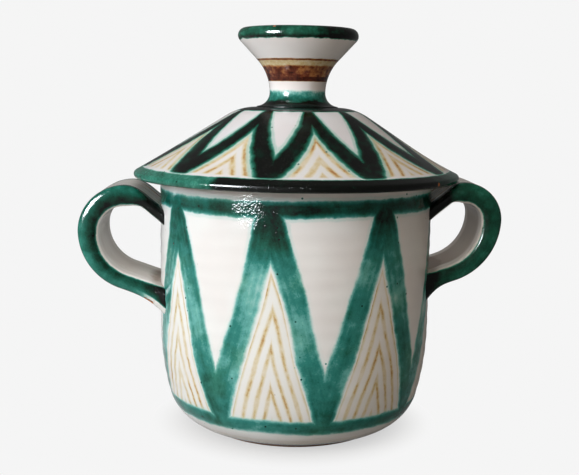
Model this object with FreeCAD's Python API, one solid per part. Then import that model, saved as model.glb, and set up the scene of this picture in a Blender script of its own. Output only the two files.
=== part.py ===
import FreeCAD, Part
import math
import os

from FreeCAD import Vector

# A covered two-handled stew pot in glazed earthenware, in millimetres.
# The pot's turning axis is Z, the table is z = 0 and the handles stand along X.

# Pot: a straight wall that draws in to a rounded base on a low turned foot
POT_RADIUS = 75.8
POT_HEIGHT = 144.5
WALL = 6.0
SIDE_CURVE_START = 58.0
SIDE_CURVE_RADIUS = 150.0
BASE_CURVE_RADIUS = 25.0
BASE_LIFT = 1.2
INSIDE_CORNER_RADIUS = 20.0
FLOOR = 7.0
RIM_ROUNDING = 2.0
FOOT_RADIUS = 51.0
FOOT_WIDTH = 9.0
FOOT_RECESS = 2.5
FOOT_TAPER = 1.0

# Lid: a cone that hangs over the rim, with a full-round lip and a flat crown
LID_OVERHANG = 14.6
LID_SLOPE = 31.5
SEAT_MARGIN = 4.2
LID_LIP_THICKNESS = 4.4
LID_WALL = 6.0
CROWN_CURVE_RADIUS = 32.0
CROWN_MARGIN = 0.3

# Flange: the ring under the lid that keeps it centred in the mouth
FLANGE_CLEARANCE = 1.2
FLANGE_WALL = 5.0
FLANGE_DEPTH = 12.0
FLANGE_ROUNDING = 2.0

# Knob: an open trumpet cup on a narrow neck
KNOB_RADIUS = 33.3
KNOB_FOOT_RADIUS = 22.5
KNOB_FOOT_EDGE = 0.5
KNOB_NECK_RADIUS = 15.5
KNOB_NECK_HEIGHT = 8.0
KNOB_FLARE_RADIUS = 26.0
KNOB_FLARE_ANGLE = 43.0
KNOB_LIP_THICKNESS = 8.2
KNOB_CUP_FLOOR = 11.0
KNOB_CUP_DISH = 3.0

# Handles: pulled straps, thin at the upper arm and thickest round the loop, each with its own loop and tail.
# A loop's top is measured up from the bottom of the lid's lip.
STRAP_WIDTH = 48.0
ARM_THICKNESS = 6.3
LOOP_THICKNESS = 11.2
TAIL_THICKNESS = 9.2
LOOP_OUTSIDE_LID = 2.3
LOOP_RISE_ANGLE = 39.0
TAIL_SLOPE = 19.0
ROOT_DROP = 6.0
ROOT_SPREAD = 2.0
LEFT_LOOP_RADIUS = 19.1
LEFT_TAIL_RADIUS = 28.5
LEFT_LOOP_TOP = -3.2
RIGHT_LOOP_RADIUS = 15.7
RIGHT_TAIL_RADIUS = 31.0
RIGHT_LOOP_TOP = 0.0

# Heights and radii that follow from the sizes above
INSIDE_RADIUS = POT_RADIUS - WALL
LID_RADIUS = POT_RADIUS + LID_OVERHANG
SEAT_RADIUS = POT_RADIUS + SEAT_MARGIN
LIP_RADIUS = LID_LIP_THICKNESS / 2
FLANGE_RADIUS = INSIDE_RADIUS - FLANGE_CLEARANCE
FLANGE_INSIDE = FLANGE_RADIUS - FLANGE_WALL
CROWN_FLAT = KNOB_FOOT_RADIUS + CROWN_MARGIN

# Sections that shape each stretch of a strap
RISE_STATIONS = 4
LOOP_STATIONS = 13
TAIL_STATIONS = 7
ROOT_STATIONS = 4

# The lid's cone runs square to this direction
CONE_NORMAL = Vector(math.sin(math.radians(LID_SLOPE)), 0, math.cos(math.radians(LID_SLOPE)))

# The underside leaves the flat seat just outside the wall and slopes with the cone down to the lip
UNDER_RADIUS = LID_RADIUS - LIP_RADIUS - LIP_RADIUS * CONE_NORMAL.x
UNDER_HEIGHT = POT_HEIGHT - (UNDER_RADIUS - SEAT_RADIUS) * math.tan(math.radians(LID_SLOPE))
LIP_CENTRE = Vector(UNDER_RADIUS, 0, UNDER_HEIGHT) + CONE_NORMAL * LIP_RADIUS
LIP_BOTTOM = LIP_CENTRE.z - LIP_RADIUS

# Distance of the outer cone from the origin, and the crown's curve that leads up from it
CONE_DISTANCE = LIP_CENTRE.dot(CONE_NORMAL) + LIP_RADIUS
CROWN_CENTRE = Vector(
    CROWN_FLAT,
    0,
    (CONE_DISTANCE - CROWN_CURVE_RADIUS - CROWN_FLAT * CONE_NORMAL.x) / CONE_NORMAL.z,
)
CROWN_HEIGHT = CROWN_CENTRE.z + CROWN_CURVE_RADIUS


def at(radius, height):
    """A point of a side view: distance from the axis and height."""
    return Vector(radius, 0, height)


def polar(centre, radius, degrees):
    """The point of a circle in the side view at an angle from the outward direction."""
    angle = math.radians(degrees)
    return centre + Vector(radius * math.cos(angle), 0, radius * math.sin(angle))


def line(start, end):
    return Part.makeLine(start, end)


def arc(centre, radius, first, last):
    """An arc of the side view between two angles in degrees."""
    middle = polar(centre, radius, (first + last) / 2)
    return Part.Arc(polar(centre, radius, first), middle, polar(centre, radius, last)).toShape()


def angle_of(vector):
    return math.degrees(math.atan2(vector.z, vector.x))


def turned(edges):
    """The solid that a closed side view makes about the pot's axis."""
    face = Part.Face(Part.Wire(edges))
    return face.revolve(Vector(0, 0, 0), Vector(0, 0, 1), 360)


def corner_centre(side_centre, side_radius, corner_radius, level):
    """Centre of the arc that runs from a side curve into a level floor, tangent to both."""
    height = level + corner_radius
    rise = side_centre.z - height
    reach = math.sqrt((side_radius - corner_radius) ** 2 - rise**2)
    return at(side_centre.x + reach, height)


def pot_envelope():
    """The pot's outside, solid to the axis."""
    side = at(POT_RADIUS - SIDE_CURVE_RADIUS, SIDE_CURVE_START)
    base = corner_centre(side, SIDE_CURVE_RADIUS, BASE_CURVE_RADIUS, BASE_LIFT)
    turn = angle_of(base - side)
    foot_angle = -math.degrees(math.acos((FOOT_RADIUS - base.x) / BASE_CURVE_RADIUS))
    foot_top = polar(base, BASE_CURVE_RADIUS, foot_angle)
    foot_inside = FOOT_RADIUS - FOOT_WIDTH
    shoulder = at(POT_RADIUS - RIM_ROUNDING, POT_HEIGHT - RIM_ROUNDING)
    return turned(
        [
            line(at(0, FOOT_RECESS), at(foot_inside - FOOT_TAPER, FOOT_RECESS)),
            line(at(foot_inside - FOOT_TAPER, FOOT_RECESS), at(foot_inside, 0)),
            line(at(foot_inside, 0), at(FOOT_RADIUS - FOOT_TAPER, 0)),
            line(at(FOOT_RADIUS - FOOT_TAPER, 0), foot_top),
            arc(base, BASE_CURVE_RADIUS, foot_angle, turn),
            arc(side, SIDE_CURVE_RADIUS, turn, 0),
            line(at(POT_RADIUS, SIDE_CURVE_START), polar(shoulder, RIM_ROUNDING, 0)),
            arc(shoulder, RIM_ROUNDING, 0, 90),
            line(polar(shoulder, RIM_ROUNDING, 90), at(0, POT_HEIGHT)),
            line(at(0, POT_HEIGHT), at(0, FOOT_RECESS)),
        ]
    )


def pot_hollow():
    """The space inside the pot, opening through the rounded rim."""
    side = at(POT_RADIUS - SIDE_CURVE_RADIUS, SIDE_CURVE_START)
    side_radius = SIDE_CURVE_RADIUS - WALL
    floor = FOOT_RECESS + FLOOR
    corner = corner_centre(side, side_radius, INSIDE_CORNER_RADIUS, floor)
    turn = angle_of(corner - side)
    rim = at(INSIDE_RADIUS + RIM_ROUNDING, POT_HEIGHT - RIM_ROUNDING)
    return turned(
        [
            line(at(0, floor), polar(corner, INSIDE_CORNER_RADIUS, -90)),
            arc(corner, INSIDE_CORNER_RADIUS, -90, turn),
            arc(side, side_radius, turn, 0),
            line(at(INSIDE_RADIUS, SIDE_CURVE_START), polar(rim, RIM_ROUNDING, 180)),
            arc(rim, RIM_ROUNDING, 180, 90),
            line(polar(rim, RIM_ROUNDING, 90), at(0, POT_HEIGHT)),
            line(at(0, POT_HEIGHT), at(0, floor)),
        ]
    )


def lid_shell():
    """The conical lid with its flat seat on the rim, open underneath."""
    lip_top = 90 - LID_SLOPE
    seat_edge = at(SEAT_RADIUS, POT_HEIGHT)
    inside_distance = CONE_DISTANCE - LID_WALL
    spring = (inside_distance - FLANGE_INSIDE * CONE_NORMAL.x) / CONE_NORMAL.z
    inside_curve = CROWN_CURVE_RADIUS - LID_WALL
    return turned(
        [
            line(at(0, CROWN_HEIGHT), at(CROWN_FLAT, CROWN_HEIGHT)),
            arc(CROWN_CENTRE, CROWN_CURVE_RADIUS, 90, lip_top),
            line(polar(CROWN_CENTRE, CROWN_CURVE_RADIUS, lip_top), polar(LIP_CENTRE, LIP_RADIUS, lip_top)),
            arc(LIP_CENTRE, LIP_RADIUS, lip_top, lip_top - 180),
            line(polar(LIP_CENTRE, LIP_RADIUS, lip_top - 180), seat_edge),
            line(seat_edge, at(FLANGE_INSIDE, POT_HEIGHT)),
            line(at(FLANGE_INSIDE, POT_HEIGHT), at(FLANGE_INSIDE, spring)),
            line(at(FLANGE_INSIDE, spring), polar(CROWN_CENTRE, inside_curve, lip_top)),
            arc(CROWN_CENTRE, inside_curve, lip_top, 90),
            line(polar(CROWN_CENTRE, inside_curve, 90), at(0, CROWN_HEIGHT - LID_WALL)),
            line(at(0, CROWN_HEIGHT - LID_WALL), at(0, CROWN_HEIGHT)),
        ]
    )


def lid_flange():
    """The locating ring luted under the lid's seat, inside the mouth."""
    bottom = POT_HEIGHT - FLANGE_DEPTH
    outer = at(FLANGE_RADIUS - FLANGE_ROUNDING, bottom + FLANGE_ROUNDING)
    inner = at(FLANGE_INSIDE + FLANGE_ROUNDING, bottom + FLANGE_ROUNDING)
    return turned(
        [
            line(at(FLANGE_RADIUS, POT_HEIGHT), polar(outer, FLANGE_ROUNDING, 0)),
            arc(outer, FLANGE_ROUNDING, 0, -90),
            line(polar(outer, FLANGE_ROUNDING, -90), polar(inner, FLANGE_ROUNDING, -90)),
            arc(inner, FLANGE_ROUNDING, -90, -180),
            line(polar(inner, FLANGE_ROUNDING, 180), at(FLANGE_INSIDE, POT_HEIGHT)),
            line(at(FLANGE_INSIDE, POT_HEIGHT), at(FLANGE_RADIUS, POT_HEIGHT)),
        ]
    )


def lid_knob():
    """The thrown trumpet knob, luted by its foot to the lid's crown."""
    neck = CROWN_HEIGHT + KNOB_NECK_HEIGHT
    foot_top = at(KNOB_FOOT_RADIUS, CROWN_HEIGHT + KNOB_FOOT_EDGE)
    spread = KNOB_FOOT_RADIUS - KNOB_NECK_RADIUS
    cove_radius = (spread**2 + (neck - foot_top.z) ** 2) / (2 * spread)
    cove = at(KNOB_NECK_RADIUS + cove_radius, neck)
    cove_start = angle_of(foot_top - cove) % 360

    flare = at(KNOB_NECK_RADIUS + KNOB_FLARE_RADIUS, neck)
    inside_radius = KNOB_FLARE_RADIUS + KNOB_LIP_THICKNESS
    flare_end = 180 - KNOB_FLARE_ANGLE
    lip_radius = KNOB_LIP_THICKNESS / 2
    lip_start = polar(flare, KNOB_FLARE_RADIUS + lip_radius, flare_end)
    run = (KNOB_RADIUS - lip_radius - lip_start.x) / math.sin(math.radians(KNOB_FLARE_ANGLE))
    lip = polar(lip_start, run, 90 - KNOB_FLARE_ANGLE)

    cup_floor = CROWN_HEIGHT + KNOB_CUP_FLOOR
    cup_angle = 180 - math.degrees(math.asin((cup_floor - neck) / inside_radius))
    cup_edge = polar(flare, inside_radius, cup_angle)
    dish_radius = (cup_edge.x**2 + KNOB_CUP_DISH**2) / (2 * KNOB_CUP_DISH)
    dish = at(0, cup_floor - KNOB_CUP_DISH + dish_radius)
    return turned(
        [
            line(at(0, CROWN_HEIGHT), at(KNOB_FOOT_RADIUS, CROWN_HEIGHT)),
            line(at(KNOB_FOOT_RADIUS, CROWN_HEIGHT), foot_top),
            arc(cove, cove_radius, cove_start, 180),
            arc(flare, KNOB_FLARE_RADIUS, 180, flare_end),
            line(polar(flare, KNOB_FLARE_RADIUS, flare_end), polar(lip, lip_radius, flare_end - 180)),
            arc(lip, lip_radius, flare_end - 180, flare_end),
            line(polar(lip, lip_radius, flare_end), polar(flare, inside_radius, flare_end)),
            arc(flare, inside_radius, flare_end, cup_angle),
            arc(dish, dish_radius, angle_of(cup_edge - dish), -90),
            line(polar(dish, dish_radius, -90), at(0, CROWN_HEIGHT)),
        ]
    )


def strap_section(centre, direction, width, thickness):
    """A strap section with round edges, square to its run, which goes at an angle in the side view."""
    across = Vector(0, 1, 0)
    up = polar(Vector(0, 0, 0), 1, direction + 90)
    half_thickness = thickness / 2
    half_flat = width / 2 - half_thickness
    edges = []
    for side in (1, -1):
        middle = centre + across * side * half_flat
        rise = up * side * half_thickness
        tip = middle + across * side * half_thickness
        edges.append(Part.Arc(middle + rise, tip, middle - rise).toShape())
        edges.append(line(middle - rise, middle - rise - across * side * 2 * half_flat))
    return Part.Wire(edges)


def strap_handle(loop_radius, tail_radius, loop_top, envelope):
    """A strap that rises from the wall, turns over in a loop and runs back to the wall."""
    loop_start = 90 + LOOP_RISE_ANGLE
    tail_end = TAIL_SLOPE - 90
    loop_height = LIP_BOTTOM + loop_top - LOOP_THICKNESS / 2 - loop_radius
    loop = at(LID_RADIUS + LOOP_OUTSIDE_LID, loop_height)
    tail = loop + at(loop_radius - tail_radius, 0)
    rise_end = polar(loop, loop_radius, loop_start)
    root = polar(tail, tail_radius, tail_end)

    # The round wall falls away under the strap's edges, so both ends run on until they are inside it
    edge_wall = math.sqrt(POT_RADIUS**2 - (STRAP_WIDTH / 2) ** 2)
    buried_wall = math.sqrt(POT_RADIUS**2 - (STRAP_WIDTH / 2 + 2 * ROOT_SPREAD) ** 2)
    rise = math.radians(LOOP_RISE_ANGLE)
    rise_length = (rise_end.x - buried_wall) / math.cos(rise) + ARM_THICKNESS / 2 * math.tan(rise)

    stations = []
    for step in range(RISE_STATIONS):
        centre = polar(rise_end, rise_length * (step / RISE_STATIONS - 1), LOOP_RISE_ANGLE)
        stations.append(strap_section(centre, LOOP_RISE_ANGLE, STRAP_WIDTH, ARM_THICKNESS))
    for step in range(LOOP_STATIONS):
        angle = loop_start * (1 - step / LOOP_STATIONS)
        climb = min((loop_start - angle) / LOOP_RISE_ANGLE, 1)
        swell = climb * climb * (3 - 2 * climb)
        centre = polar(loop, loop_radius, angle)
        thickness = ARM_THICKNESS + (LOOP_THICKNESS - ARM_THICKNESS) * swell
        stations.append(strap_section(centre, angle - 90, STRAP_WIDTH, thickness))
    for step in range(TAIL_STATIONS):
        share = step / TAIL_STATIONS
        centre = polar(tail, tail_radius, tail_end * share)
        thickness = LOOP_THICKNESS + (TAIL_THICKNESS - LOOP_THICKNESS) * share
        stations.append(strap_section(centre, tail_end * share - 90, STRAP_WIDTH, thickness))

    # The lower root thickens downwards and sideways where its clay is smeared on the wall
    for step in range(ROOT_STATIONS + 1):
        run = (root.x - buried_wall) * step / ROOT_STATIONS
        share = run / (root.x - edge_wall)
        growth = share**3
        drop = ROOT_DROP * growth
        direction = TAIL_SLOPE * max(1 - share, 0) - 180
        centre = root - at(run, run * math.tan(math.radians(TAIL_SLOPE)))
        centre = polar(centre, drop / 2, direction + 90)
        width = STRAP_WIDTH + 2 * ROOT_SPREAD * growth
        stations.append(strap_section(centre, direction, width, TAIL_THICKNESS + drop))
    return Part.makeLoft(stations, True).cut(envelope)


def mirrored(shape):
    return shape.mirror(Vector(0, 0, 0), Vector(1, 0, 0))


os.makedirs("parts", exist_ok=True)
envelope = pot_envelope()
parts = {
    "pot_body": envelope.cut(pot_hollow()),
    "left_handle": mirrored(strap_handle(LEFT_LOOP_RADIUS, LEFT_TAIL_RADIUS, LEFT_LOOP_TOP, envelope)),
    "right_handle": strap_handle(RIGHT_LOOP_RADIUS, RIGHT_TAIL_RADIUS, RIGHT_LOOP_TOP, envelope),
    "lid_shell": lid_shell(),
    "lid_flange": lid_flange(),
    "lid_knob": lid_knob(),
}
for name, shape in parts.items():
    shape.exportStep(os.path.join("parts", name + ".step"))
    print(name, "valid" if shape.isValid() else "not valid", len(shape.Solids), round(shape.Volume))
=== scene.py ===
import math

import bmesh
import bpy
from mathutils import Matrix, Vector, noise


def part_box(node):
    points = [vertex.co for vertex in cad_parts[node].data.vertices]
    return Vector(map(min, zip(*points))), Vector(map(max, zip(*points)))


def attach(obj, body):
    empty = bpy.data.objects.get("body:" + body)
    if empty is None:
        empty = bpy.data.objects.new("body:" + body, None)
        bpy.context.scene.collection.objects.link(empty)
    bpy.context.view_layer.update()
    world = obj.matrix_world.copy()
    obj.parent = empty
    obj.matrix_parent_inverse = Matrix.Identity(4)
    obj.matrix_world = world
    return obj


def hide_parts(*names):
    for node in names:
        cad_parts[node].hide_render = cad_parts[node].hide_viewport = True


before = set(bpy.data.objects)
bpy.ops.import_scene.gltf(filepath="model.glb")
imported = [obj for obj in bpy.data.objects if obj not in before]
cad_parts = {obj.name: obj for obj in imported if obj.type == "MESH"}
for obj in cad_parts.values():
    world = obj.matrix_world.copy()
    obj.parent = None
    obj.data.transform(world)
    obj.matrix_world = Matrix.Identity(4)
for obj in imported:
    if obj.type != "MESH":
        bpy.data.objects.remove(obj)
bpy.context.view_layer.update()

# Pot body
# Red earthenware thrown on a wheel, dipped in white tin glaze and painted on the raw glaze.
# The rim is left flat for the lid to sit on, and the foot ring is turned and wiped clean of glaze.

MM = 0.001
SPOKES = 256

pot_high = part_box("pot_body")[1]
pot_radius = pot_high.x
pot_height = pot_high.z
pot_wall = 6 * MM
pot_inside = pot_radius - pot_wall
side_curve_start = 58 * MM
side_curve_radius = 150 * MM
base_curve_radius = 25 * MM
base_lift = 1.2 * MM
inside_corner_radius = 20 * MM
inside_floor = 9.5 * MM
rim_rounding = 2 * MM
foot_radius = 51 * MM
foot_inside = 42 * MM
foot_recess = 2.5 * MM
foot_taper = 1 * MM
marks_low = 12 * MM
marks_high = pot_height - 4 * MM
marks_depth = 0.1 * MM
marks_pitch = 8.5 * MM
marks_wander = 25 * MM


class SideView:
    """A side view drawn as one chain of edges, which is then turned about the axis."""

    def __init__(self, radius, height):
        self.bm = bmesh.new()
        self.tip = self.bm.verts.new((radius, 0, height))

    def line(self, radius, height, steps=1):
        start = self.tip.co.copy()
        end = Vector((radius, 0, height))
        for step in range(1, steps + 1):
            self.tip = bmesh.ops.extrude_vert_indiv(self.bm, verts=[self.tip])["verts"][0]
            self.tip.co = start.lerp(end, step / steps)

    def arc(self, centre, degrees, steps):
        """Goes on along an arc about a centre; positive degrees turn from outwards to upwards."""
        made = bmesh.ops.spin(
            self.bm,
            geom=[self.tip],
            cent=(centre[0], 0, centre[1]),
            axis=(0, -1, 0),
            angle=math.radians(degrees),
            steps=steps,
        )
        self.tip = made["geom_last"][0]

    def turned(self):
        """The mesh that the side view makes on the wheel, with its seam and poles closed."""
        bm = self.bm
        bmesh.ops.spin(
            bm,
            geom=bm.verts[:] + bm.edges[:],
            cent=(0, 0, 0),
            axis=(0, 0, 1),
            angle=2 * math.pi,
            steps=SPOKES,
            use_merge=True,
        )
        bmesh.ops.remove_doubles(bm, verts=bm.verts, dist=0.001 * MM)
        bmesh.ops.recalc_face_normals(bm, faces=bm.faces)
        return bm


def corner_centre(side, side_radius, corner_radius, level):
    """Centre of the arc that runs from a side curve into a level floor, tangent to both."""
    height = level + corner_radius
    reach = math.sqrt((side_radius - corner_radius) ** 2 - (side[1] - height) ** 2)
    return side[0] + reach, height


def bearing(start, end):
    return math.degrees(math.atan2(end[1] - start[1], end[0] - start[0]))


def throwing_marks(bm, low, high, depth, pitch):
    """The shallow spiral that the potter's fingers leave in the clay, fading out at both ends."""
    bm.normal_update()
    for vert in bm.verts:
        height = vert.co.z
        fade = max(0, min((height - low) / pitch, (high - height) / pitch, 1))
        turn = math.atan2(vert.co.y, vert.co.x)
        uneven = noise.noise(vert.co / marks_wander)
        ridge = math.sin(2 * math.pi * height / pitch - turn + 2 * uneven)
        vert.co += vert.normal * depth * fade * (ridge + uneven)


def add_piece(name, bm, *materials):
    """A smooth-shaded piece from a mesh that is already in its place."""
    for face in bm.faces:
        face.smooth = True
    mesh = bpy.data.meshes.new(name)
    bm.to_mesh(mesh)
    bm.free()
    for material in materials:
        mesh.materials.append(material)
    piece = bpy.data.objects.new(name, mesh)
    bpy.context.scene.collection.objects.link(piece)
    return piece


def math_node(operation, *values):
    """Lays one Math node over fields and plain numbers, and gives what it puts out."""
    tree = next(value.tree for value in values if isinstance(value, Field))
    node = tree.nodes.new("ShaderNodeMath")
    node.operation = operation
    for socket, value in zip(node.inputs, values):
        if isinstance(value, Field):
            tree.links.new(value.socket, socket)
        else:
            socket.default_value = value
    return Field(node.outputs[0])


class Field:
    """A number that varies over a surface; arithmetic with it lays Math nodes in its node tree."""

    def __init__(self, socket):
        self.socket = socket
        self.tree = socket.id_data

    def __add__(self, other):
        return math_node("ADD", self, other)

    def __sub__(self, other):
        return math_node("SUBTRACT", self, other)

    def __rsub__(self, other):
        return math_node("SUBTRACT", other, self)

    def __mul__(self, other):
        return math_node("MULTIPLY", self, other)

    def __abs__(self):
        return math_node("ABSOLUTE", self)

    def joined(self, other):
        """The larger of two fields."""
        return math_node("MAXIMUM", self, other)

    def ramp(self, start, end):
        """0 at start, 1 at end and smooth between, whichever of the two is larger."""
        node = self.tree.nodes.new("ShaderNodeMapRange")
        node.interpolation_type = "SMOOTHSTEP"
        self.tree.links.new(self.socket, node.inputs["Value"])
        node.inputs["From Min"].default_value = min(start, end)
        node.inputs["From Max"].default_value = max(start, end)
        node.inputs["To Min"].default_value = 0 if start < end else 1
        node.inputs["To Max"].default_value = 1 if start < end else 0
        return Field(node.outputs["Result"])


def stretched(vector, stretch):
    """A vector socket multiplied along each axis, for patterns that run in one direction."""
    node = vector.id_data.nodes.new("ShaderNodeVectorMath")
    node.operation = "MULTIPLY"
    vector.id_data.links.new(vector, node.inputs[0])
    node.inputs[1].default_value = stretch
    return node.outputs[0]


def clouds(vector, size, detail=2):
    """Soft noise about zero, within about a half either way, with features of a size in millimetres."""
    node = vector.id_data.nodes.new("ShaderNodeTexNoise")
    vector.id_data.links.new(vector, node.inputs["Vector"])
    node.inputs["Scale"].default_value = 1 / size
    node.inputs["Detail"].default_value = detail
    return Field(node.outputs["Fac"]) - 0.5


def dots(vector, spacing, radius):
    """Scattered round specks, about one in each cube of a spacing, in millimetres."""
    node = vector.id_data.nodes.new("ShaderNodeTexVoronoi")
    vector.id_data.links.new(vector, node.inputs["Vector"])
    node.inputs["Scale"].default_value = 1 / spacing
    return Field(node.outputs["Distance"]).ramp(radius * 1.3 / spacing, radius * 0.7 / spacing)


def mixed(factor, under, over):
    """One colour laid over another; each is a colour socket or a plain colour."""
    tree = factor.tree
    node = tree.nodes.new("ShaderNodeMix")
    node.data_type = "RGBA"
    tree.links.new(factor.socket, node.inputs[0])
    for socket, colour in ((node.inputs[6], under), (node.inputs[7], over)):
        if isinstance(colour, tuple):
            socket.default_value = (*colour, 1)
        else:
            tree.links.new(colour, socket)
    return node.outputs[2]


def shades(field, stops):
    """A colour that follows a field through a row of stops."""
    node = field.tree.nodes.new("ShaderNodeValToRGB")
    elements = node.color_ramp.elements
    while len(elements) < len(stops):
        elements.new(1)
    for element, (position, colour) in zip(elements, stops):
        element.position = position
        element.color = (*colour, 1)
    field.tree.links.new(field.socket, node.inputs["Fac"])
    return node.outputs["Color"]


def new_group(name, inputs, outputs):
    """A shader node group with named sockets, and the sockets at its two ends."""
    tree = bpy.data.node_groups.new(name, "ShaderNodeTree")
    for socket, kind in inputs.items():
        tree.interface.new_socket(socket, in_out="INPUT", socket_type="NodeSocket" + kind)
    for socket, kind in outputs.items():
        tree.interface.new_socket(socket, in_out="OUTPUT", socket_type="NodeSocket" + kind)
    return tree, tree.nodes.new("NodeGroupInput").outputs, tree.nodes.new("NodeGroupOutput").inputs


def placed_group(tree, group, **given):
    """A group placed in a material, with fields, sockets or plain numbers on its named inputs."""
    node = tree.nodes.new("ShaderNodeGroup")
    node.node_tree = group
    for name, value in given.items():
        if isinstance(value, float):
            node.inputs[name].default_value = value
        else:
            tree.links.new(value.socket if isinstance(value, Field) else value, node.inputs[name])
    return node.outputs


def fired_glaze_group():
    """White glaze as it comes from the kiln: a faint waviness, clouds of tint and a few iron specks."""
    tree, given, put = new_group(
        "fired_glaze", {"Vector": "Vector"}, {"Cloud": "Float", "Speck": "Float", "Height": "Float"}
    )
    vector = given["Vector"]
    cloud = clouds(vector, 28).ramp(-0.18, 0.2)
    height = clouds(vector, 16) + clouds(vector, 3.2) * 0.16
    for name, field in (("Cloud", cloud), ("Speck", dots(vector, 13, 0.32)), ("Height", height)):
        tree.links.new(field.socket, put[name])
    return tree


def brushed_green_group():
    """Copper green by its thickness: pale turquoise, then teal or bottle green, then nearly black."""
    tree, given, put = new_group(
        "brushed_green",
        {"Vector": "Vector", "Thickness": "Float", "Bottle": "Float"},
        {"Color": "Color", "Cover": "Float", "Height": "Float", "Pooled": "Float"},
    )
    vector = given["Vector"]
    laid = Field(given["Thickness"])
    mottle = clouds(vector, 4.5, 4) * 0.42 + clouds(vector, 0.9) * 0.17 + dots(vector, 2.8, 0.26) * 0.16
    spatter = dots(vector, 7, 0.5) * laid.ramp(0.01, 0.1) * 0.5
    depth = laid + mottle * laid.ramp(0.05, 0.5) + spatter
    teal = shades(
        depth,
        [
            (0.0, (0.5, 0.79, 0.76)),
            (0.17, (0.19, 0.52, 0.48)),
            (0.34, (0.03, 0.215, 0.185)),
            (0.56, (0.008, 0.112, 0.086)),
            (0.78, (0.004, 0.04, 0.026)),
            (0.95, (0.0025, 0.0035, 0.0025)),
        ],
    )
    bottle = shades(
        depth,
        [
            (0.0, (0.42, 0.68, 0.6)),
            (0.17, (0.16, 0.42, 0.33)),
            (0.34, (0.035, 0.2, 0.135)),
            (0.56, (0.01, 0.085, 0.052)),
            (0.78, (0.004, 0.03, 0.017)),
            (0.95, (0.0025, 0.0032, 0.0023)),
        ],
    )
    pits = dots(vector, 1.5, 0.32) * depth.ramp(0.8, 1.0)
    cover = depth.ramp(0.02, 0.24)
    tree.links.new(mixed(Field(given["Bottle"]), teal, bottle), put["Color"])
    tree.links.new(cover.socket, put["Cover"])
    tree.links.new((depth.ramp(0.0, 0.8) - pits * 0.5).socket, put["Height"])
    tree.links.new(depth.ramp(0.78, 1.0).socket, put["Pooled"])
    return tree


def brushed_iron_group():
    """Iron colour by its thickness: straw, ochre, red-brown, then a dark purplish brown."""
    tree, given, put = new_group(
        "brushed_iron", {"Vector": "Vector", "Thickness": "Float"}, {"Color": "Color", "Cover": "Float"}
    )
    vector = given["Vector"]
    laid = Field(given["Thickness"])
    depth = laid + (clouds(vector, 2.2, 4) * 0.5 + clouds(vector, 0.6) * 0.25) * laid.ramp(0, 0.7)
    colour = shades(
        depth,
        [
            (0.0, (0.8, 0.74, 0.56)),
            (0.28, (0.62, 0.49, 0.235)),
            (0.46, (0.4, 0.16, 0.05)),
            (0.66, (0.14, 0.03, 0.012)),
            (0.9, (0.026, 0.006, 0.004)),
        ],
    )
    tree.links.new(colour, put["Color"])
    tree.links.new(depth.ramp(0.0, 0.38).socket, put["Cover"])
    return tree


def bare_clay_group():
    """Fired red earthenware where no glaze lies: grainy and uneven, with pale grit."""
    tree, given, put = new_group(
        "bare_clay", {"Vector": "Vector"}, {"Color": "Color", "Height": "Float"}
    )
    vector = given["Vector"]
    tone = clouds(vector, 6, 4) + clouds(vector, 0.7) * 0.6
    fired = shades(
        tone + 0.5,
        [
            (0.2, (0.27, 0.085, 0.035)),
            (0.5, (0.42, 0.15, 0.06)),
            (0.8, (0.55, 0.25, 0.12)),
        ],
    )
    pale_grit = (0.62, 0.48, 0.36)
    tree.links.new(mixed(dots(vector, 2.2, 0.22), fired, pale_grit), put["Color"])
    tree.links.new((tone * 0.4).socket, put["Height"])
    return tree


fired_glaze = fired_glaze_group()
brushed_green = brushed_green_group()
brushed_iron = brushed_iron_group()
bare_clay = bare_clay_group()


# How a brush stroke thins out on both sides of its edge, in millimetres
STROKE_FULL = 3.2
STROKE_END = 1.4
WASH_FULL = 1.0
WASH_END = 3.0
WASH_THICKNESS = 0.13


class Place:
    """Where a point of a surface lies, in millimetres and as an angle, and the brush marks laid there."""

    def __init__(self, tree):
        coordinates = tree.nodes.new("ShaderNodeTexCoord")
        self.vector = stretched(coordinates.outputs["Object"], (1 / MM, 1 / MM, 1 / MM))
        split = tree.nodes.new("ShaderNodeSeparateXYZ")
        tree.links.new(self.vector, split.inputs[0])
        self.x, self.y, self.z = (Field(socket) for socket in split.outputs)
        self.radius = math_node("SQRT", self.x * self.x + self.y * self.y)
        self.angle = math_node("ARCTAN2", self.y, self.x)
        self.sway = clouds(self.vector, 70, 1)
        self.ragged = clouds(self.vector, 6, 3) * 1.7 + clouds(self.vector, 1.3) * 0.7

    def stroke(self, distance, half_width):
        """Thickness of one brush stroke by the distance to its middle, thinning at a ragged edge."""
        edge = distance + self.ragged
        wash = edge.ramp(half_width + WASH_END, half_width + WASH_FULL) * WASH_THICKNESS
        return edge.ramp(half_width + STROKE_END, half_width - STROKE_FULL).joined(wash)

    def bristles(self, across, along):
        """Streaks that a brush leaves along its stroke, from the distances across and along it."""
        tree = self.x.tree
        run = tree.nodes.new("ShaderNodeCombineXYZ")
        tree.links.new((across * 0.28).socket, run.inputs[0])
        tree.links.new((along * 0.03).socket, run.inputs[1])
        return clouds(run.outputs[0], 1, 4)

    def thin_line(self, distance):
        """Thickness of a thin iron line by the distance to its middle: a straw band, a broken core."""
        band = (distance + clouds(self.vector, 3, 3) * 0.8).ramp(2.0, 0.7)
        core = (distance + clouds(self.vector, 2, 3) * 0.8).ramp(1.0, 0.2)
        broken = clouds(self.vector, 11, 3).ramp(-0.14, 0.16)
        return band * (clouds(self.vector, 16) * 0.14 + 0.16) + core * broken * 0.14

    def spot(self, centre, radius, softness=0.25):
        """A small ragged patch about a point, such as a chip."""
        x, y, z = (axis - value for axis, value in zip((self.x, self.y, self.z), centre))
        distance = math_node("SQRT", x * x + y * y + z * z)
        return (distance + self.ragged * 0.6).ramp(radius + softness, radius - softness)


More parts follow.
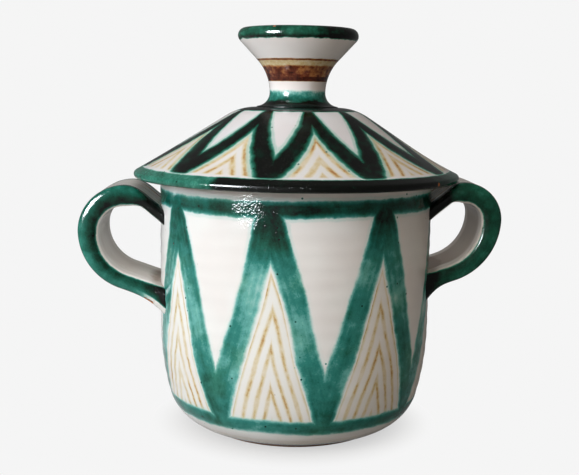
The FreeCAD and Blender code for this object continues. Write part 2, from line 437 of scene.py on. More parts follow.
# A brown tint for thin glaze, also used as painted shade inside the handle loops, near the wall and at
# the lower roots
THIN_GLAZE_AND_SHADE = (0.27, 0.2, 0.155)
IRON_SPECK = (0.3, 0.2, 0.13)
GLAZE_SHEEN = 0.25
GLAZE_ROUGHNESS = 0.09
GLAZE_RELIEF = 0.35 * MM
CLAY_ROUGHNESS = 0.65
CLAY_DEPTH = 1.2


def glazed(name, white, blush, paint):
    """A glossy glazed finish; paint says where the green and iron lie and where the clay is bare."""
    material = bpy.data.materials.new(name)
    material.use_nodes = True
    tree = material.node_tree
    shader = tree.nodes["Principled BSDF"]
    shader.inputs["Specular IOR Level"].default_value = GLAZE_SHEEN
    place = Place(tree)
    layers = paint(place)
    glaze = placed_group(tree, fired_glaze, Vector=place.vector)
    colour = mixed(Field(glaze["Cloud"]), white, blush)
    # Brown laid over the white where the glaze is thin, and as painted shade
    if "thin" in layers:
        colour = mixed(layers["thin"], colour, THIN_GLAZE_AND_SHADE)
    colour = mixed(Field(glaze["Speck"]), colour, IRON_SPECK)
    height = Field(glaze["Height"]) * 0.5
    roughness = Field(glaze["Cloud"]) * 0.05 + GLAZE_ROUGHNESS
    if "iron" in layers:
        iron = placed_group(tree, brushed_iron, Vector=place.vector, Thickness=layers["iron"])
        colour = mixed(Field(iron["Cover"]), colour, iron["Color"])
        height = height + Field(iron["Cover"]) * 0.08
    if "green" in layers:
        green = placed_group(
            tree, brushed_green, Vector=place.vector, Thickness=layers["green"], Bottle=layers["bottle"]
        )
        colour = mixed(Field(green["Cover"]), colour, green["Color"])
        height = height + Field(green["Height"]) * 0.45
        roughness = roughness + Field(green["Pooled"]) * 0.1
    if "pits" in layers:
        height = height + layers["pits"]
    if "clay" in layers:
        clay = placed_group(tree, bare_clay, Vector=place.vector)
        colour = mixed(layers["clay"], colour, clay["Color"])
        height = height + layers["clay"] * (Field(clay["Height"]) - CLAY_DEPTH)
        roughness = roughness + layers["clay"] * CLAY_ROUGHNESS
    bump = tree.nodes.new("ShaderNodeBump")
    bump.inputs["Distance"].default_value = GLAZE_RELIEF
    tree.links.new(height.socket, bump.inputs["Height"])
    tree.links.new(colour, shader.inputs["Base Color"])
    tree.links.new(roughness.socket, shader.inputs["Roughness"])
    tree.links.new(bump.outputs["Normal"], shader.inputs["Normal"])
    return material


# The painted register: a green zigzag between two bands, with nested ochre chevrons under each peak
PEAKS = 8
PEAK_BEARING = -101.5
ZIGZAG_LOW = 23.0
ZIGZAG_HIGH = 127.0
ZIGZAG_HALF_WIDTH = 7.0
TOP_BAND = 130.5
LOW_BAND = 17.0
BAND_HALF_WIDTH = 4.4
CHEVRON_FIRST = 10.0
CHEVRON_SPACING = 5.6
FOOT_LINE = 4.6
PITTED_PATCH = (-26.0, -71.4, 129.0)
PITTED_RADIUS = 8.0
PITTED_FADE = 4.0
PIT_SIZE = 1.1
PIT_DEPTH = 1.6


def zigzag(place, peaks, bearing_of_peak, sway):
    """A wave of straight runs round the axis: 1 at each peak and 0 between."""
    turns = (place.angle - math.radians(bearing_of_peak)) * (peaks / (2 * math.pi)) + place.sway * sway
    return abs(math_node("FRACT", turns) - 0.5) * 2


def pot_paint(place):
    half_period = math.pi * pot_radius / MM / PEAKS
    lean = math.cos(math.atan2(ZIGZAG_HIGH - ZIGZAG_LOW, half_period))
    line = zigzag(place, PEAKS, PEAK_BEARING, 0.16) * (ZIGZAG_HIGH - ZIGZAG_LOW) + ZIGZAG_LOW
    below = (line - place.z) * lean
    within = place.z.ramp(LOW_BAND - 3, LOW_BAND) * place.z.ramp(TOP_BAND + 3, TOP_BAND)
    green = place.stroke(abs(below), ZIGZAG_HALF_WIDTH) * within
    green = green * (place.bristles(below, place.z) * 0.85 + 0.9)
    around = place.angle * (pot_radius / MM)
    for band in (TOP_BAND, LOW_BAND):
        from_middle = place.z + place.sway * 3 - band
        stroke = place.stroke(abs(from_middle), BAND_HALF_WIDTH)
        green = green.joined(stroke * (place.bristles(from_middle, around) * 0.5 + 0.9))
    # Green laid heavier towards the top and the foot; the dark under the lid's lip is partly painted
    # shade
    heavy_ends_and_lid_shade = place.z.ramp(92, 130) * 0.44 + place.z.ramp(40, 18) * 0.14
    load = clouds(place.vector, 30, 2) * 0.8 + heavy_ends_and_lid_shade + 0.36
    foot_line = (abs(place.z + place.sway - FOOT_LINE) + place.ragged * 0.3).ramp(1.5, 0.5) * 0.6

    register = place.z.ramp(LOW_BAND, LOW_BAND + 2) * place.z.ramp(TOP_BAND, TOP_BAND - 2)
    wander = clouds(place.vector, 40) * 0.5
    step = math_node("FRACT", (below - CHEVRON_FIRST) * (1 / CHEVRON_SPACING) + wander)
    chevrons = place.thin_line(abs(step - 0.5) * CHEVRON_SPACING)
    wash = below.ramp(3, 7) * register
    drawn = chevrons * below.ramp(CHEVRON_FIRST - 2.8, CHEVRON_FIRST - 2.2)
    iron = (drawn + clouds(place.vector, 20) * 0.08 + 0.06) * wash
    clay = (place.z + clouds(place.vector, 9) * 1.6).ramp(2.4, 1.8)
    bottle = clouds(place.vector, 18, 3).ramp(-0.04, 0.2) * 0.65
    pitted = place.spot(PITTED_PATCH, PITTED_RADIUS, PITTED_FADE)
    return {
        "green": (green * load).joined(foot_line),
        "bottle": bottle,
        "iron": iron,
        "clay": clay,
        "pits": pitted * clouds(place.vector, PIT_SIZE, 1) * PIT_DEPTH,
    }


def inner_paint(place):
    return {}


side_centre = (pot_radius - side_curve_radius, side_curve_start)
base_centre = corner_centre(side_centre, side_curve_radius, base_curve_radius, base_lift)
inner_side_radius = side_curve_radius - pot_wall
inner_corner = corner_centre(side_centre, inner_side_radius, inside_corner_radius, inside_floor)
foot_bearing = -math.degrees(math.acos((foot_radius - base_centre[0]) / base_curve_radius))
side_bearing = bearing(side_centre, base_centre)
inner_bearing = bearing(side_centre, inner_corner)
foot_top = base_centre[1] + base_curve_radius * math.sin(math.radians(foot_bearing))

pot_view = SideView(0, foot_recess)
pot_view.line(foot_inside - foot_taper, foot_recess, 6)
pot_view.line(foot_inside, 0, 2)
pot_view.line(foot_radius - foot_taper, 0, 3)
pot_view.line(foot_radius, foot_top)
pot_view.arc(base_centre, side_bearing - foot_bearing, 24)
pot_view.arc(side_centre, -side_bearing, 20)
pot_view.line(pot_radius, pot_height - rim_rounding, 44)
pot_view.arc((pot_radius - rim_rounding, pot_height - rim_rounding), 90, 6)
pot_view.line(pot_inside + rim_rounding, pot_height)
pot_view.arc((pot_inside + rim_rounding, pot_height - rim_rounding), 90, 6)
pot_view.line(pot_inside, side_curve_start, 32)
pot_view.arc(side_centre, inner_bearing, 12)
pot_view.arc(inner_corner, -90 - inner_bearing, 14)
pot_view.line(0, inside_floor, 14)
pot_mesh = pot_view.turned()
throwing_marks(pot_mesh, marks_low, marks_high, marks_depth, marks_pitch)

for face in pot_mesh.faces:
    middle = face.calc_center_median()
    out = math.hypot(middle.x, middle.y) - side_centre[0]
    down = min(middle.z - side_centre[1], 0)
    inside = math.hypot(out, down) < side_curve_radius - pot_wall / 2 and middle.z > inside_floor / 2
    face.material_index = int(inside)

pot_glaze = glazed("pot_glaze", (0.81, 0.81, 0.8), (0.79, 0.765, 0.755), pot_paint)
inner_glaze = glazed("inner_glaze", (0.78, 0.755, 0.72), (0.72, 0.68, 0.63), inner_paint)
pot = add_piece("thrown_pot", pot_mesh, pot_glaze, inner_glaze)
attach(pot, "pot")
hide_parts("pot_body")

# Handles
# Two straps pulled from wet clay, bent into ear-shaped loops and luted to the wall at both ends.
# The left loop is the larger. Their rounded edges are painted green and pool dark against the wall.

lid_low, lid_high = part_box("lid_shell")
strap_width = 48 * MM
arm_thickness = 6.3 * MM
loop_thickness = 11.2 * MM
tail_thickness = 9.2 * MM
loop_rise = 39
tail_slope = 19
root_drop = 6 * MM
root_spread = 2 * MM
root_reach = 10 * MM
ridge_depth = 0.15 * MM
ridge_length = 70 * MM
ridge_width = 24 * MM


def point_on(centre, radius, degrees):
    angle = math.radians(degrees)
    return centre + Vector((radius * math.cos(angle), 0, radius * math.sin(angle)))


def section_stand(centre, degrees):
    """Where a strap section stands: X across the strap, Y out of the loop and Z along its run."""
    along = point_on(Vector(), 1, degrees)
    across = Vector((0, 1, 0))
    turned = Matrix((across, along.cross(across), along)).transposed().to_4x4()
    return Matrix.Translation(centre) @ turned


def verts_of(geometry):
    return [part for part in geometry if isinstance(part, bmesh.types.BMVert)]


def edges_of(geometry):
    return [part for part in geometry if isinstance(part, bmesh.types.BMEdge)]


def strap_run(loop_radius, tail_radius, loop_top, outside_lid):
    """Centre, heading, width and thickness of each section of a +X strap, from its upper root on."""
    loop_start = 90 + loop_rise
    tail_end = tail_slope - 90
    loop_height = lid_low.z + loop_top - loop_thickness / 2 - loop_radius
    loop = Vector((lid_high.x + outside_lid, 0, loop_height))
    tail = loop + Vector((loop_radius - tail_radius, 0, 0))
    rise_end = point_on(loop, loop_radius, loop_start)
    root = point_on(tail, tail_radius, tail_end)
    edge_wall = math.sqrt(pot_radius**2 - (strap_width / 2) ** 2)
    buried_wall = math.sqrt(pot_radius**2 - (strap_width / 2 + 2 * root_spread) ** 2)
    rise = math.radians(loop_rise)
    rise_length = (rise_end.x - buried_wall) / math.cos(rise) + arm_thickness / 2 * math.tan(rise)

    rise_steps, loop_steps, tail_steps, root_steps = 12, 44, 26, 14
    for step in range(rise_steps):
        run = rise_length * step / rise_steps
        share = max(1 - run / root_reach, 0)
        width = strap_width + 2 * root_spread * share**2
        yield point_on(rise_end, run - rise_length, loop_rise), loop_rise, width, arm_thickness
    for step in range(loop_steps):
        angle = loop_start * (1 - step / loop_steps)
        climb = min((loop_start - angle) / loop_rise, 1)
        swell = climb * climb * (3 - 2 * climb)
        thickness = arm_thickness + (loop_thickness - arm_thickness) * swell
        yield point_on(loop, loop_radius, angle), angle - 90, strap_width, thickness
    for step in range(tail_steps):
        share = step / tail_steps
        angle = tail_end * share
        thickness = loop_thickness + (tail_thickness - loop_thickness) * share
        yield point_on(tail, tail_radius, angle), angle - 90, strap_width, thickness

    # The lower root thickens downwards and sideways where its clay is smeared on the wall
    for step in range(root_steps + 1):
        run = (root.x - buried_wall) * step / root_steps
        share = run / (root.x - edge_wall)
        drop = root_drop * share**3
        heading = tail_slope * max(1 - share, 0) - 180
        centre = root - Vector((run, 0, run * math.tan(math.radians(tail_slope))))
        width = strap_width + 2 * root_spread * share**3
        yield point_on(centre, drop / 2, heading + 90), heading, width, tail_thickness + drop


def pulled_strap(run):
    """The strap's mesh, one round-edged section drawn out from stand to stand along its run."""
    sections = [
        (section_stand(centre, heading), width, thickness) for centre, heading, width, thickness in run
    ]
    stand, width, thickness = sections[0]
    bm = bmesh.new()
    inner = bm.verts.layers.float.new("loop_inside")
    bmesh.ops.create_grid(
        bm,
        x_segments=1,
        y_segments=1,
        size=0.5,
        matrix=stand @ Matrix.Diagonal((width, thickness, 1, 1)),
    )
    bmesh.ops.bevel(
        bm,
        geom=bm.verts[:],
        offset=thickness * 0.49,
        segments=8,
        profile=0.5,
        affect="VERTICES",
        material=-1,
    )
    bmesh.ops.delete(bm, geom=bm.faces[:], context="FACES_ONLY")
    faces_across = [edge for edge in bm.edges if edge.calc_length() > width / 2]
    bmesh.ops.subdivide_edges(bm, edges=faces_across, cuts=17)
    for vert in bm.verts:
        vert[inner] = 0.5 - (stand.inverted() @ vert.co).y / thickness

    ring = bm.edges[:]
    for next_stand, next_width, next_thickness in sections[1:]:
        growth = Matrix.Diagonal((next_width / width, next_thickness / thickness, 1, 1))
        made = bmesh.ops.extrude_edge_only(bm, edges=ring)["geom"]
        moved = set(verts_of(made))
        bmesh.ops.transform(bm, matrix=next_stand @ growth @ stand.inverted(), verts=list(moved))
        ring = [edge for edge in edges_of(made) if moved.issuperset(edge.verts)]
        stand, width, thickness = next_stand, next_width, next_thickness

    bmesh.ops.holes_fill(bm, edges=[edge for edge in bm.edges if edge.is_boundary])
    bmesh.ops.recalc_face_normals(bm, faces=bm.faces)
    return bm


def pulling_marks(bm, depth):
    """Broad lengthwise ridges from the pulling hand; both ends stop half-way into the wall."""
    bm.normal_update()
    buried = pot_radius - pot_wall / 2
    for vert in bm.verts:
        x, y, z = vert.co
        ridges = noise.noise(Vector((x / ridge_length, y / ridge_width, z / ridge_length)))
        vert.co += vert.normal * depth * ridges
        out = math.hypot(vert.co.x, vert.co.y)
        if out < buried:
            vert.co.x *= buried / out
            vert.co.y *= buried / out


# A streak under the left strap's lower root where the glaze drew back from the clay
BARE_STREAK = ((-82.5, -22.6, 74.2), (-80.8, -23.0, 73.2), (-79.2, -23.4, 72.3))
BARE_STREAK_WIDTH = 1.3


def strap_paint(place):
    inside = place.x.tree.nodes.new("ShaderNodeAttribute")
    inside.attribute_name = "loop_inside"
    inner = Field(inside.outputs["Fac"])
    edge = strap_width / MM / 2
    wall = pot_radius / MM
    near_wall = (place.radius + place.ragged).ramp(wall + 18, wall + 4)
    rightwards = place.x.ramp(-60, 60)
    leftwards = 1 - rightwards
    underside = (inner + place.ragged * 0.08).ramp(0.4, 0.26)
    under_root = near_wall * place.z.ramp(95, 88) * underside * leftwards
    from_middle = abs(place.y) + place.ragged * 0.7 - inner * 7.1
    green = from_middle.ramp(edge - 8.4, edge - 6.2) * (1 - under_root)
    low_root = place.z.ramp(104, 92)
    root = (place.radius + place.ragged * 2.4 + low_root * 7).ramp(wall + 17, wall + 6)
    pooled = inner.ramp(0.15, 0.75) * (leftwards * 0.2 + 0.14)
    pooled = pooled + place.z.ramp(88, 122) * leftwards * 0.14
    # The rightwards term adds painted shade: the right strap's green is laid heavier and darker
    load = pooled + clouds(place.vector, 13, 3) * 0.42 + root * 0.5 + rightwards * 0.14 + 0.4
    streaks = place.bristles(place.y * 2.5, place.radius).ramp(-0.04, 0.12)
    hollow = inner.ramp(0.8, 0.97) * abs(place.y).ramp(edge - 7, edge - 12)
    # Painted shade in the corner where the lower root meets the wall, on the loop's inside
    by_wall = (place.radius + place.ragged * 2.2).ramp(wall + 8, wall + 2)
    root_corner_shade = by_wall * low_root * inner.ramp(0.6, 0.9)
    # Painted shade, partly thin glaze: a brown tint inside the loops, heavier on the right strap and low
    # down, a little near the wall, and the root's corner shade
    thin = hollow * (rightwards * (low_root * 0.3 + 0.3) + 0.18) + near_wall * 0.08 + root_corner_shade * 0.65
    iron = near_wall * (streaks * 0.5 + 0.06) * (1 - low_root)
    clay = place.spot(BARE_STREAK[0], BARE_STREAK_WIDTH)
    for point in BARE_STREAK[1:]:
        clay = clay.joined(place.spot(point, BARE_STREAK_WIDTH))
    # Painted shade: the right strap turns to a darker bottle green
    bottle = rightwards * 0.5 + 0.4
    return {"green": green * load, "bottle": bottle, "iron": iron, "clay": clay, "thin": thin}


strap_glaze = glazed("strap_glaze", (0.84, 0.82, 0.805), (0.75, 0.71, 0.685), strap_paint)
# Piece, node, side, loop radius, tail radius, top above the lid's lip and reach past the lid
loops = (
    ("left_strap", "left_handle", -1, 19.8 * MM, 28.5 * MM, -3.5 * MM, 3.3 * MM),
    ("right_strap", "right_handle", 1, 15.0 * MM, 31.1 * MM, 0.08 * MM, 1.3 * MM),
)
for name, node, side, loop_radius, tail_radius, loop_top, outside_lid in loops:
    strap_mesh = pulled_strap(strap_run(loop_radius, tail_radius, loop_top, outside_lid))
    pulling_marks(strap_mesh, ridge_depth)
    bmesh.ops.scale(strap_mesh, vec=(side, 1, 1), verts=strap_mesh.verts)
    bmesh.ops.recalc_face_normals(strap_mesh, faces=strap_mesh.faces)
    strap = add_piece(name, strap_mesh, strap_glaze)
    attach(strap, "pot")
    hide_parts(node)

# Lid
# A shallow cone thrown upside down, with a full-round lip that hangs over the pot's rim.
# It is glazed and painted like the pot, and its lip is thick with green that pooled black in the kiln.

lid_radius = lid_high.x
lid_slope = 31.5
lip_radius = 2.2 * MM
lid_wall = 6 * MM
seat_margin = 4.2 * MM
flange_low, flange_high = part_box("lid_flange")
flange_radius = flange_high.x
flange_wall = 5 * MM
flange_inside = flange_radius - flange_wall
sag_start = 25 * MM
sag_depth = 0.95 * MM
sag_rightwards = 0.52 * MM
crown_flat = 22.8 * MM
crown_curve = 32 * MM
crown_height = lid_high.z
lip_bearing = 90 - lid_slope

lip_centre = Vector((lid_radius - lip_radius, 0, lid_low.z + lip_radius))
crown_centre = Vector((crown_flat, 0, crown_height - crown_curve))
cone_end = point_on(lip_centre, lip_radius, lip_bearing)
inner_curve = crown_curve - lid_wall
inner_start = point_on(crown_centre, inner_curve, lip_bearing)
cone_fall = math.tan(math.radians(lid_slope))
flange_top = inner_start.z - (flange_inside - inner_start.x) * cone_fall

lid_view = SideView(0, crown_height)
lid_view.line(crown_flat, crown_height, 10)
lid_view.arc((crown_centre.x, crown_centre.z), -lid_slope, 14)
lid_view.line(cone_end.x, cone_end.z, 26)
lid_view.arc((lip_centre.x, lip_centre.z), -180, 18)
lid_view.line(pot_radius + seat_margin, pot_height, 5)
lid_view.line(flange_inside, pot_height, 5)
lid_view.line(flange_inside, flange_top, 4)
lid_view.line(inner_start.x, inner_start.z, 14)
lid_view.arc((crown_centre.x, crown_centre.z), lid_slope, 10)
lid_view.line(0, crown_height - lid_wall, 8)
lid_mesh = lid_view.turned()


def mid_wall(out):
    """Height of the middle of the lid's wall at a distance from the axis."""
    return min(cone_end.z + (cone_end.x - out) * cone_fall, crown_height) - lid_wall / 2


def sagged(bm):
    """The cone sank a little as it dried, most on the right and two thirds of the way to the lip."""
    for vert in bm.verts:
        out = math.hypot(vert.co.x, vert.co.y)
        share = max(0, min((out - sag_start) / (lid_radius - sag_start), 1))
        if share > 0 and vert.co.z > mid_wall(out):
            depth = sag_depth + sag_rightwards * vert.co.x / out
            vert.co.z -= depth * math.sin(math.pi * share**1.9)


# The painted cone: a dark collar round the knob, a green zigzag with ochre chevrons, and the dark lip
POINTS = 10
POINT_BEARING = -101.0
POINT_INNER = 36.0
POINT_OUTER = 82.0
POINT_HALF_WIDTH = 5.4
COLLAR_RADIUS = 33.0
LIP_BAND = 84.6
POOL_BEARING = -45.0
LINE_SPACING = 5.0
CHIP = (70.3, -56.5, 142.0)
CHIP_RADIUS = 0.9


def lid_paint(place):
    half_period = math.pi * (POINT_INNER + POINT_OUTER) / 2 / POINTS
    lean = math.cos(math.atan2(POINT_OUTER - POINT_INNER, half_period))
    line = zigzag(place, POINTS, POINT_BEARING, 0.12) * (POINT_OUTER - POINT_INNER) + POINT_INNER
    beyond = (place.radius - line) * lean
    green = place.stroke(abs(beyond), POINT_HALF_WIDTH) * place.radius.ramp(LIP_BAND + 1, LIP_BAND - 1)
    green = green * (place.bristles(beyond, place.radius) * 0.4 + 0.96)
    collar = (place.radius + place.ragged).ramp(COLLAR_RADIUS + 1.5, COLLAR_RADIUS - 1.5)
    load = clouds(place.vector, 11, 3) * 0.6 + 1.02

    towards_pool = math_node("COSINE", place.angle - math.radians(POOL_BEARING))
    pool = (towards_pool + clouds(place.vector, 22, 3) * 0.15).ramp(0.23, 0.3)
    lip = (place.radius + place.ragged * 0.5).ramp(LIP_BAND, LIP_BAND + 1.6)
    lip_load = pool * 0.6 + clouds(place.vector, 12, 3) * 0.35 + 0.42
    lip_load = lip_load - place.x.ramp(62, 88) * 0.42 + clouds(place.vector, 1.3) * 0.3
    green = (green.joined(collar) * load).joined(lip * lip_load)

    step = math_node("FRACT", beyond * (1 / LINE_SPACING) + clouds(place.vector, 40) * 0.5)
    lines = place.thin_line(abs(step - 0.5) * LINE_SPACING)
    wash = beyond.ramp(2, 5) * place.radius.ramp(LIP_BAND, LIP_BAND - 2)
    iron = (lines + clouds(place.vector, 20) * 0.08 + 0.09) * wash
    return {"green": green, "bottle": 0.75, "iron": iron, "clay": place.spot(CHIP, CHIP_RADIUS)}


for face in lid_mesh.faces:
    middle = face.calc_center_median()
    out = math.hypot(middle.x, middle.y)
    face.material_index = int(middle.z < mid_wall(out) and out < pot_radius + seat_margin)
sagged(lid_mesh)

lid_glaze = glazed("lid_glaze", (0.735, 0.735, 0.765), (0.71, 0.68, 0.7), lid_paint)
lid = add_piece("turned_lid", lid_mesh, lid_glaze, inner_glaze)
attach(lid, "lid")
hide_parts("lid_shell")

# Flange
# A ring of clay luted under the lid's seat, which drops inside the mouth and keeps the lid centred.
# It is thinly glazed, and its lower edge is rubbed bare by the rim.

flange_rounding = 2 * MM

flange_view = SideView(flange_radius, flange_high.z)
flange_view.line(flange_radius, flange_low.z + flange_rounding, 5)
flange_view.arc((flange_radius - flange_rounding, flange_low.z + flange_rounding), -90, 6)
flange_view.line(flange_inside + flange_rounding, flange_low.z)
flange_view.arc((flange_inside + flange_rounding, flange_low.z + flange_rounding), -90, 6)
flange_view.line(flange_inside, flange_high.z, 5)
flange_view.line(flange_radius, flange_high.z)
flange_mesh = flange_view.turned()


def flange_paint(place):
    low_edge = flange_low.z / MM
    worn = (place.z + clouds(place.vector, 7, 3) * 2.4).ramp(low_edge + 1.3, low_edge + 0.5)
    return {"clay": worn}


flange_glaze = glazed("flange_glaze", (0.74, 0.7, 0.65), (0.66, 0.6, 0.53), flange_paint)
flange = add_piece("lid_collar", flange_mesh, flange_glaze)
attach(flange, "lid")
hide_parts("lid_flange")

# Knob
# A trumpet-shaped cup thrown off the hump, luted to the crown and banded on the wheel with a brush.
# White, then ochre and red-brown bands round the waist, with green at the lip and foot.

knob_low, knob_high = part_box("lid_knob")
knob_radius = knob_high.x
knob_foot = 22.5 * MM
knob_foot_edge = 0.5 * MM
knob_neck = 15.5 * MM
knob_neck_rise = 8 * MM
knob_neck_height = knob_low.z + knob_neck_rise
knob_flare = 26 * MM
knob_flare_angle = 43
knob_lip = 4.1 * MM
cup_floor = knob_low.z + 11 * MM
cup_dish = 3 * MM

spread = knob_foot - knob_neck
cove_rise = knob_neck_rise - knob_foot_edge
cove_radius = (spread**2 + cove_rise**2) / (2 * spread)
cove_sweep = math.degrees(math.asin(cove_rise / cove_radius))
flare_centre = Vector((knob_neck + knob_flare, 0, knob_neck_height))
flare_end = 180 - knob_flare_angle
cup_radius = knob_flare + 2 * knob_lip
lip_start = point_on(flare_centre, knob_flare + knob_lip, flare_end)
lip_run = (knob_radius - knob_lip - lip_start.x) / math.sin(math.radians(knob_flare_angle))
knob_lip_centre = point_on(lip_start, lip_run, 90 - knob_flare_angle)
lip_under = point_on(knob_lip_centre, knob_lip, flare_end - 180)
cup_start = point_on(flare_centre, cup_radius, flare_end)
cup_angle = 180 - math.degrees(math.asin((cup_floor - knob_neck_height) / cup_radius))
cup_edge = point_on(flare_centre, cup_radius, cup_angle).x
dish_radius = (cup_edge**2 + cup_dish**2) / (2 * cup_dish)
dish_sweep = math.degrees(math.asin(cup_edge / dish_radius))

knob_view = SideView(0, knob_low.z)
knob_view.line(knob_foot, knob_low.z, 3)
knob_view.line(knob_foot, knob_low.z + knob_foot_edge)
knob_view.arc((knob_neck + cove_radius, knob_neck_height), -cove_sweep, 12)
knob_view.arc((flare_centre.x, flare_centre.z), flare_end - 180, 26)
knob_view.line(lip_under.x, lip_under.z, 5)
knob_view.arc((knob_lip_centre.x, knob_lip_centre.z), 180, 18)
knob_view.line(cup_start.x, cup_start.z, 3)
knob_view.arc((flare_centre.x, flare_centre.z), cup_angle - flare_end, 16)
knob_view.arc((0, cup_floor - cup_dish + dish_radius), -dish_sweep, 8)
knob_mesh = knob_view.turned()

# Heights of the painted bands' edges, and the chip on the lip
KNOB_LIP_BAND = 215.8
CREAM_TOP = 205.0
FINE_LINE = 204.8
BROWN_TOP = 201.4
DARK_TOP = 196.0
DARK_LOW = 193.35
KNOB_FOOT_BAND = 188.2
KNOB_POOL_BEARING = -25.0
HUMP_BEARING = -62.0
HUMPS = 5
KNOB_CHIP = (-13.9, -28.5, 222.0)
KNOB_CHIP_RADIUS = 1.0


def knob_paint(place):
    height = place.z + place.sway * 0.8
    edge = clouds(place.vector, 3.5, 3) * 1.1
    lip = (height + edge * 1.6).ramp(KNOB_LIP_BAND - 0.6, KNOB_LIP_BAND + 0.6)
    right_end = math_node("COSINE", place.angle - math.radians(KNOB_POOL_BEARING))
    lip_load = (height + edge).ramp(KNOB_LIP_BAND + 2.7, KNOB_LIP_BAND) * 0.3
    lip_load = lip_load + right_end.ramp(0.6, 0.9) * 0.3
    lip_load = lip_load + clouds(place.vector, 9, 3) * 0.6 + clouds(place.vector, 2.2, 3) * 0.35 + 0.62
    foot = (height + edge).ramp(KNOB_FOOT_BAND + 1.6, KNOB_FOOT_BAND - 1.6)
    hump = math_node("COSINE", (place.angle - math.radians(HUMP_BEARING)) * HUMPS) * 0.8
    foot_load = height.ramp(187.5, 182.5) * 0.34 + (height + edge * 2 - hump).ramp(183.4, 180.6) * 0.55
    foot_load = foot_load + clouds(place.vector, 4.5, 3) * 0.4 + clouds(place.vector, 1.3) * 0.3 + 0.27
    outside = place.radius.ramp(13, 15)
    green = (lip * lip_load).joined(foot * foot_load * outside)
    bottle = height.ramp(192, 205) * 0.75 + 0.25

    fine_line = abs(height + edge * 0.5 - FINE_LINE).ramp(0.8, 0.3) * 0.62
    even = height + edge * 0.3
    cream = even.ramp(CREAM_TOP + 0.2, CREAM_TOP - 0.2) * even.ramp(DARK_TOP - 0.5, DARK_TOP - 0.1) * 0.3
    uneven = height + edge
    mottled = uneven.ramp(BROWN_TOP + 0.8, BROWN_TOP - 0.8) * uneven.ramp(DARK_TOP - 0.5, DARK_TOP)
    banding = clouds(stretched(place.vector, (0.3, 0.3, 1.6)), 3, 3)
    blotches = clouds(place.vector, 5.5, 4) * 1.2 + banding * 0.35 + place.x.ramp(12, -12) * 0.16 + 0.28
    dark = (height + edge * 0.5).ramp(DARK_TOP + 0.4, DARK_TOP - 0.4)
    dark = dark * (height + edge * 0.4).ramp(DARK_LOW - 0.35, DARK_LOW + 0.35)
    iron = fine_line.joined(cream + mottled * blotches).joined(dark * 0.8)
    clay = place.spot(KNOB_CHIP, KNOB_CHIP_RADIUS)
    return {"green": green, "bottle": bottle, "iron": iron * outside, "clay": clay}


knob_glaze = glazed("knob_glaze", (0.87, 0.83, 0.82), (0.83, 0.775, 0.755), knob_paint)
knob = add_piece("trumpet_knob", knob_mesh, knob_glaze)
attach(knob, "lid")
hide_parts("lid_knob")

# Studio
# A pale floor under an even pale surround. A window-like lamp stands at the left, with another beside it
# that only the gloss of the glaze sees, and two wide lamps fill the front and the back.

SURROUND = 0.913
MIRRORED = 0.16
SHADOW_NEAR = 48.0
SHADOW_FAR = 82.0
SHADOW_DEPTH = 0.36
FLOOR_SIZE = 40.0
PAPER = (0.36, 0.34, 0.32, 1)
AMBIENT = 0.105
AMBIENT_COLOUR = (1.0, 0.83, 0.68, 1)
LAMP_AIM = Vector((0, 0, 0.1))
DAYLIGHT = (0.94, 1.0, 1.05)
ROOM_LIGHT = (1.0, 0.91, 0.79)
BACK_LIGHT = (1.0, 0.96, 0.9)
FILL_SIZE = 1.2


def seen_pale(tree, mirrored):
    """Which rays see the pale surround, and how pale it is to them; glossy rays see it mirrored."""
    path = tree.nodes.new("ShaderNodeLightPath")
    straight = Field(path.outputs["Is Camera Ray"]).joined(Field(path.outputs["Is Transmission Ray"]))
    glossy = Field(path.outputs["Is Glossy Ray"])
    return straight.joined(glossy), straight.joined(glossy * mirrored) * SURROUND


floor_mesh = bmesh.new()
bmesh.ops.create_grid(floor_mesh, x_segments=1, y_segments=1, size=FLOOR_SIZE / 2)
floor_paper = bpy.data.materials.new("floor_paper")
floor_paper.use_nodes = True
paper_tree = floor_paper.node_tree
paper_tree.nodes.remove(paper_tree.nodes["Principled BSDF"])
paper = paper_tree.nodes.new("ShaderNodeBsdfDiffuse")
paper.inputs["Color"].default_value = PAPER
glow = paper_tree.nodes.new("ShaderNodeEmission")
glow.inputs["Color"].default_value = (1, 1, 1, 1)
floor_place = Place(paper_tree)
# Painted shadow round the foot, with the real one: there the darker paper shows through the glow and
# takes the pot's shadow
contact_shadow = floor_place.radius.ramp(SHADOW_FAR, SHADOW_NEAR) * SHADOW_DEPTH
floor_mirrored = floor_place.x.ramp(60, -60) * floor_place.y.ramp(700, 200) * 0.45 + MIRRORED
seen, level = seen_pale(paper_tree, floor_mirrored)
paper_tree.links.new(level.socket, glow.inputs["Strength"])
blend = paper_tree.nodes.new("ShaderNodeMixShader")
paper_tree.links.new(((1 - contact_shadow) * seen).socket, blend.inputs[0])
paper_tree.links.new(paper.outputs[0], blend.inputs[1])
paper_tree.links.new(glow.outputs[0], blend.inputs[2])
paper_tree.links.new(blend.outputs[0], paper_tree.nodes["Material Output"].inputs["Surface"])
floor = add_piece("floor", floor_mesh, floor_paper)

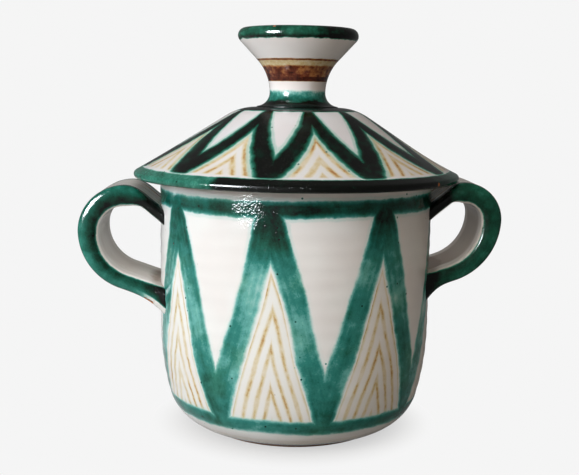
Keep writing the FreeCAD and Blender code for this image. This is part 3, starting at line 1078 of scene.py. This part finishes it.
world = bpy.data.worlds.new("studio")
bpy.context.scene.world = world
world.use_nodes = True
world_tree = world.node_tree
room = world_tree.nodes["Background"]
room.inputs["Color"].default_value = AMBIENT_COLOUR
pale = world_tree.nodes.new("ShaderNodeBackground")
pale.inputs["Color"].default_value = (1, 1, 1, 1)
heading = world_tree.nodes.new("ShaderNodeSeparateXYZ")
world_tree.links.new(world_tree.nodes.new("ShaderNodeTexCoord").outputs["Generated"], heading.inputs[0])
rightward, behind, upward = (Field(socket) for socket in heading.outputs)
dark_side = (upward * 1.3 + rightward * 0.9).ramp(0.1, 0.65).joined(behind.ramp(0.0, 0.6))
seen, level = seen_pale(world_tree, (1 - dark_side) * 0.22 + MIRRORED)
world_tree.links.new(level.socket, pale.inputs["Strength"])
world_tree.links.new(((upward * 0.6 - rightward * 0.4 + 1) * AMBIENT).socket, room.inputs["Strength"])
surround = world_tree.nodes.new("ShaderNodeMixShader")
world_tree.links.new(seen.socket, surround.inputs[0])
world_tree.links.new(room.outputs[0], surround.inputs[1])
world_tree.links.new(pale.outputs[0], surround.inputs[2])
world_tree.links.new(surround.outputs[0], world_tree.nodes["World Output"].inputs["Surface"])


def soft_lamp(name, place, width, height, power, colour):
    data = bpy.data.lights.new(name, "AREA")
    data.shape = "RECTANGLE"
    data.size = width
    data.size_y = height
    data.energy = power
    data.color = colour
    lamp = bpy.data.objects.new(name, data)
    lamp.location = place
    lamp.rotation_euler = (LAMP_AIM - Vector(place)).to_track_quat("-Z", "Y").to_euler()
    bpy.context.scene.collection.objects.link(lamp)
    return lamp


soft_lamp("window", (-0.93, -0.71, 0.55), 0.45, 0.5, 12.4, DAYLIGHT)
glint = soft_lamp("glint", (-0.91, -0.77, 0.49), 0.5, 0.52, 80, DAYLIGHT)
glint.visible_diffuse = False
room_front = soft_lamp("room_front", (-0.32, -1.05, 1.05), FILL_SIZE, FILL_SIZE, 9.5, ROOM_LIGHT)
room_front.visible_glossy = False
room_back = soft_lamp("room_back", (0.15, 1.35, 0.75), FILL_SIZE, FILL_SIZE, 8, BACK_LIGHT)
room_back.visible_glossy = False

# Camera
# A little to the left of the front, below the knob's lip, looking down at the pot.
# It is turned slightly on its own axis, as the photograph is.

VIEW_HEADING = math.radians(2.0)
VIEW_DISTANCE = 0.554
VIEW_SHIFT = 0.00325
VIEW_HEIGHT = 0.1875
VIEW_TILT = math.radians(8.4)
VIEW_ROLL = math.radians(0.85)
VIEW_LENS = 61.24

camera_data = bpy.data.cameras.new("view")
camera_data.lens = VIEW_LENS
camera_data.sensor_width = 36
camera = bpy.data.objects.new("view", camera_data)
ahead = Vector((math.sin(VIEW_HEADING), math.cos(VIEW_HEADING), 0))
rightwards = Vector((math.cos(VIEW_HEADING), -math.sin(VIEW_HEADING), 0))
eye = -ahead * VIEW_DISTANCE - rightwards * VIEW_SHIFT + Vector((0, 0, VIEW_HEIGHT))
camera.matrix_world = (
    Matrix.Translation(eye)
    @ Matrix.Rotation(-VIEW_HEADING, 4, "Z")
    @ Matrix.Rotation(math.pi / 2 - VIEW_TILT, 4, "X")
    @ Matrix.Rotation(VIEW_ROLL, 4, "Z")
)
bpy.context.scene.collection.objects.link(camera)
bpy.context.scene.camera = camera
bpy.context.scene.view_settings.view_transform = "Standard"
